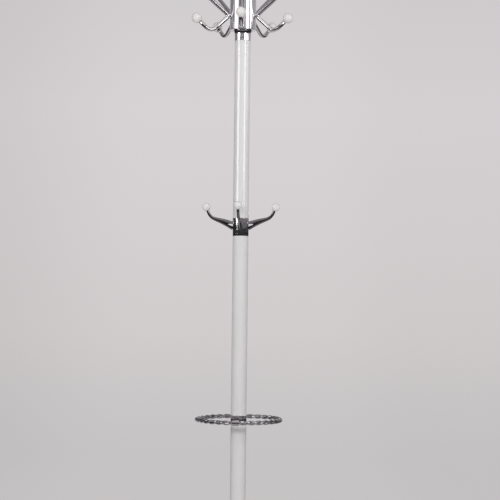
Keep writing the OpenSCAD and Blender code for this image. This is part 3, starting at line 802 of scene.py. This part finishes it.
def bossGrid(angle):
    # A short round post from the hub to the rod; its foot spreads a little and follows the hub,
    # sqrt(R^2 - side^2)
    share = np.concatenate([[0.0], np.linspace(0.0, 1.0, 16), [1.0]])[:, None]
    turn = np.linspace(0.0, 2 * pi, 48, endpoint=False)[None, :]
    radius = hookShape["boss"] + hookShape["flare"] * (1 - share) ** 4
    radius[0] = 0.0
    radius[-1] = 0.0
    aside = radius * np.cos(turn)
    start = np.sqrt(hubRadius ** 2 - aside ** 2)
    end = hubRadius + hookShape["gap"] + hookShape["rod"] / 2
    reach = start * (1 - share) + end * share
    out, side, up = radial(angle)
    points = reach[..., None] * out + aside[..., None] * side + (radius * np.sin(turn))[..., None] * up
    return points + (hubLow[2] + hookShape["jointRise"]) * up


hookCount = sum(name.startswith("top_hook_") for name in cadNodes)
for number in range(1, hookCount + 1):
    coatCentre, ballRadius = ballOf("coat_knob_%d" % number)
    hatCentre = ballOf("hat_knob_%d" % number)[0]
    coatKnob, angle = facing(coatCentre)
    hatKnob = facing(hatCentre)[0]
    corners = hookCorners(coatKnob, hatKnob)
    sunk = ballRadius - hookShape["grip"]
    hatWay = unit(corners[1] - corners[0])
    coatWay = unit(corners[3] - corners[4])
    ends = np.vstack([corners[0] + sunk * hatWay, corners[1:4], corners[4] + sunk * coatWay])
    bends = [0.0, hookShape["hatBend"], hookShape["jointBend"], hookShape["coatBend"], 0.0]
    line = rounded(ends, bends, hookShape["bendSteps"])
    rod = sweep(standing(line, angle), hookShape["rod"] / 2, radial(angle)[1])
    name = "topHook%d" % number
    dress(name, meshOf(name, [rod, bossGrid(angle)]), "top_hook_%d" % number)
    bore = hookShape["rod"] / 2 + hookShape["fit"]
    for title, node, centre, way in (
        ("coatKnob", "coat_knob_%d", coatCentre, coatWay), ("hatKnob", "hat_knob_%d", hatCentre, hatWay),
    ):
        grid = ballGrid(centre, ballRadius, standing(way, angle), bore, sunk, hookShape["lip"])
        dress(title + str(number), meshOf(title + str(number), [grid]), node % number)
print("top hooks made:", hookCount)

studio = {
    "floorRings": (0.0, 0.5, 1.5), "floorRadius": 4.5, "bend": 1.9, "wallTop": 6.0, "roofRise": 0.5,
    "floorTint": (0.64, 0.625, 0.63), "paleNear": 1.2, "paleFar": 3.0, "paleHeight": 3.0,
    "leftDim": 0.10, "leftEdge": (-0.6, -1.9), "rightDim": 0.03, "rightEdge": (0.5, 1.1),
}
paleShadeTones = [  # the backdrop's glow up to its pale height, as shares of it: painted shade, darkest at the floor and palest at about 2 m
    (0.0, (0.560, 0.545, 0.550)),
    (0.10, (0.592, 0.572, 0.577)),
    (0.22, (0.634, 0.606, 0.610)),
    (0.45, (0.660, 0.628, 0.635)),
    (0.72, (0.680, 0.650, 0.664)),
    (1.0, (0.635, 0.612, 0.622)),
]


def revolved(name, profile, turns, closed=True):
    # A surface of revolution: every point of the profile at every turn, measured from the front
    profile = np.array(profile, float)
    points = np.stack([
        profile[:, :1] * np.sin(turns), -profile[:, :1] * np.cos(turns), profile[:, 1:] + 0 * turns,
    ], -1)
    faces = gridFaces(points, wrapColumns=closed)
    mesh = bpy.data.meshes.new(name)
    mesh.from_pydata(points.reshape(-1, 3).tolist(), [], faces.tolist())
    mesh.shade_smooth()
    made = addObject(name, mesh)
    return made


def sideFade(shader, place):
    # Painted shade: the backdrop's glow darkens towards its left side and a little towards its right
    left = between(shader, place["X"], *studio["leftEdge"])
    right = between(shader, place["X"], *studio["rightEdge"])
    return 1 - left * studio["leftDim"] - right * studio["rightDim"]


def seenRays(shader):
    # 1 on rays from the camera, and on those that gloss and glass send on
    path = shader.node("LightPath")
    return path["Is Camera Ray"] + path["Is Glossy Ray"] + path["Is Transmission Ray"]


def glow(shader, tint, strength):
    return shader.node("Emission", values={"Color": tint, "Strength": strength})["Emission"]


def either(shader, share, first, second):
    return shader.node("MixShader", values={"Fac": share, 1: first, 2: second})["Shader"]


def distanceOf(shader, place):
    return shader.node("VectorMath", {"operation": "LENGTH"}, {0: place})["Value"]


def onlySeen(shader, shown):
    # The output of a finish that glows for the eye and in gloss, but is never picked as a lamp
    shader.node("OutputMaterial", values={"Surface": shown})
    shader.owner.cycles.emission_sampling = "NONE"
    return shader.owner


def floorPaint():
    # Matt near the foot, where it keeps the shadow, and further out the backdrop's glow at floor level, with
    # its painted shade
    shader = newMaterial("floorPaint")
    where = shader.node("TexCoord")["Object"]
    place = shader.node("SeparateXYZ", values={"Vector": where})
    far = between(shader, distanceOf(shader, where), studio["paleNear"], studio["paleFar"])
    matt = shader.node("BsdfDiffuse", values={"Color": colour(1.0, studio["floorTint"])})["BSDF"]
    pale = glow(shader, colour(1.0, paleShadeTones[0][1]), sideFade(shader, place))
    return onlySeen(shader, either(shader, seenRays(shader) * far, matt, pale))


def wallPaint():
    # Seen by the camera and in gloss, with painted shade that is darker low down and towards the sides; other
    # light passes through to the world
    shader = newMaterial("wallPaint")
    place = shader.node("SeparateXYZ", values={"Vector": shader.node("TexCoord")["Object"]})
    share = place["Z"] / studio["paleHeight"]
    # Painted shade: the glow's tone follows the height, darkest at the floor
    tones = shader.node("ValToRGB", {"stops": paleShadeTones}, {"Fac": share})["Color"]
    pale = glow(shader, tones, sideFade(shader, place))
    clear = shader.node("BsdfTransparent")["BSDF"]
    return onlySeen(shader, either(shader, seenRays(shader), clear, pale))


allRound = np.linspace(0.0, 2 * pi, 96, endpoint=False)[None, :]
floorRings = studio["floorRings"] + (studio["floorRadius"],)
floor = revolved("floor", [(radius, 0.0) for radius in floorRings], allRound)
floor.data.materials.append(floorPaint())
rise = np.linspace(0.0, pi / 2, 33)[:, None]
curve = studio["bend"] * np.hstack([np.sin(rise), 1 - np.cos(rise)]) + [studio["floorRadius"], 0.0]
wallRadius = studio["floorRadius"] + studio["bend"]
roof = [[wallRadius, studio["wallTop"]], [0.0, studio["wallTop"] + studio["roofRise"]]]
wall = revolved("wall", np.vstack([curve, roof]), allRound)
wall.data.materials.append(wallPaint())
wall.visible_diffuse = False
wall.visible_shadow = False

roomShape = {
    "radius": 4.3, "top": 3.6, "opening": radians(34.0), "inner": 1.1, "lift": 0.004, "ceiling": 6.2,
}
roomLook = {  # each tone, with the distances, heights or places across between which it comes in
    "dark": 0.024, "tint": (0.98, 0.955, 1.0),
    "near": 0.24, "nearEdge": (2.6, 1.2),
    "over": 0.16, "overEdge": (1.26, 1.28), "overSide": (-2.8, -0.5),
    "high": 0.22, "highEdge": (1.7, 2.1), "topDim": 0.6, "topEdge": (2.9, 3.5),
}


def roomPaint():
    # What polished metal sees of the room: the pale floor nearby, dark low down, dim over the
    # lamps' lower edge except on the left, grey higher up, and dim again overhead
    look = roomLook
    shader = newMaterial("roomPaint")
    where = shader.node("TexCoord")["Object"]
    place = shader.node("SeparateXYZ", values={"Vector": where})
    near = between(shader, distanceOf(shader, where), *look["nearEdge"])
    over = between(shader, place["Z"], *look["overEdge"]) * between(shader, place["X"], *look["overSide"])
    high = between(shader, place["Z"], *look["highEdge"])
    overhead = between(shader, place["Z"], *look["topEdge"])
    low = near * look["near"] + look["dark"]
    tone = over * look["over"] + high * (1 - overhead * look["topDim"]) * look["high"] + low
    return onlySeen(shader, glow(shader, colour(1.0, look["tint"]), tone))


roomTurns = np.linspace(-pi + roomShape["opening"], pi - roomShape["opening"], 96)[None, :]
roomProfile = [
    (roomShape["inner"], roomShape["lift"]), (roomShape["radius"], roomShape["lift"]),
    (roomShape["radius"], roomShape["top"]),
]
room = revolved("room", roomProfile, roomTurns, closed=False)
ceiling = revolved("ceiling", [(0.0, roomShape["top"]), (roomShape["ceiling"], roomShape["top"])], allRound)
roomColour = roomPaint()
for dark in (room, ceiling):
    dark.data.materials.append(roomColour)
    dark.visible_camera = False
    dark.visible_diffuse = False
    dark.visible_transmission = False
    dark.visible_shadow = False

worldLook = {"Color": (1.0, 0.985, 0.99, 1.0), "Strength": 0.14}
world = bpy.data.worlds.new("studioWorld")
bpy.context.scene.world = world
worldShader = Shader(world)
sky = worldShader.node("Background", values=worldLook)["Background"]
worldShader.node("OutputWorld", values={"Surface": sky})

# Each lamp: its low and high end, as an angle from the front, a distance from the pole and a
# height; its width, its brightness, and whether gloss shows it
lamps = {
    "leftLow": ((-55, 3.4, 1.25), (-55, 3.4, 2.1), 1.7, 4.0, True),
    "leftHigh": ((-59, 3.4, 2.1), (-59, 3.4, 2.9), 2.0, 2.0, True),
    "rightStrip": ((38, 3.4, 1.40), (42, 3.4, 2.9), 1.4, 3.6, True),
    "rightSide": ((76, 3.4, 1.75), (76, 3.4, 2.9), 1.3, 1.6, True),
    "overhead": ((0, 0.4, 3.3), (0, 2.4, 3.0), 2.4, 0.6, True),
    "key": ((-4, 3.6, 1.45), (-4, 3.6, 1.80), 2.2, 18.0, False),
    "rightFill": ((72, 3.4, 0.5), (72, 3.4, 2.1), 1.6, 1.0, False),
    "backLeft": ((-150, 3.5, 0.9), (-150, 3.5, 2.6), 2.4, 3.4, False),
    "backRight": ((146, 3.5, 0.9), (146, 3.5, 2.6), 2.4, 3.2, False),
}
aim = Vector((0.0, 0.0, 1.3))


def softbox(name, low, high, width, brightness, inGloss):
    # A long area lamp between two ends, turned towards a point on the pole; its power follows its size
    ends = [Vector((d * sin(radians(a)), -d * cos(radians(a)), h)) for a, d, h in (low, high)]
    lamp = bpy.data.lights.new(name, "AREA")
    lamp.shape = "RECTANGLE"
    lamp.size = width
    lamp.size_y = (ends[1] - ends[0]).length
    lamp.energy = brightness * pi * lamp.size * lamp.size_y
    made = addObject(name, lamp)
    made.location = (ends[0] + ends[1]) / 2
    up = (ends[1] - ends[0]).normalized()
    back = made.location - aim
    back = (back - back.dot(up) * up).normalized()
    across = up.cross(back)
    turn = np.array([across, up, back]).T
    made.rotation_euler = Matrix(turn.tolist()).to_euler()
    made.visible_camera = False
    made.visible_glossy = inGloss


for name, lamp in lamps.items():
    softbox(name, *lamp)
print("studio made, with", len(lamps), "lamps")

view = {
    "distance": 3.75, "height": 0.921, "lens": 108.0, "sensor": 36.0,
    "rise": 1.604, "side": 0.365, "roll": 0.62,
}
cameraData = bpy.data.cameras.new("camera")
cameraData.lens = view["lens"]
cameraData.sensor_width = view["sensor"]
camera = addObject("camera", cameraData)
camera.location = (0.0, -view["distance"], view["height"])
turn = (
    Quaternion((0.0, 0.0, 1.0), radians(-view["side"]))
    @ Quaternion((1.0, 0.0, 0.0), radians(90.0 + view["rise"]))
    @ Quaternion((0.0, 0.0, 1.0), radians(view["roll"]))
)
camera.rotation_euler = turn.to_euler()
bpy.context.scene.camera = camera
bpy.context.scene.view_settings.view_transform = "Standard"
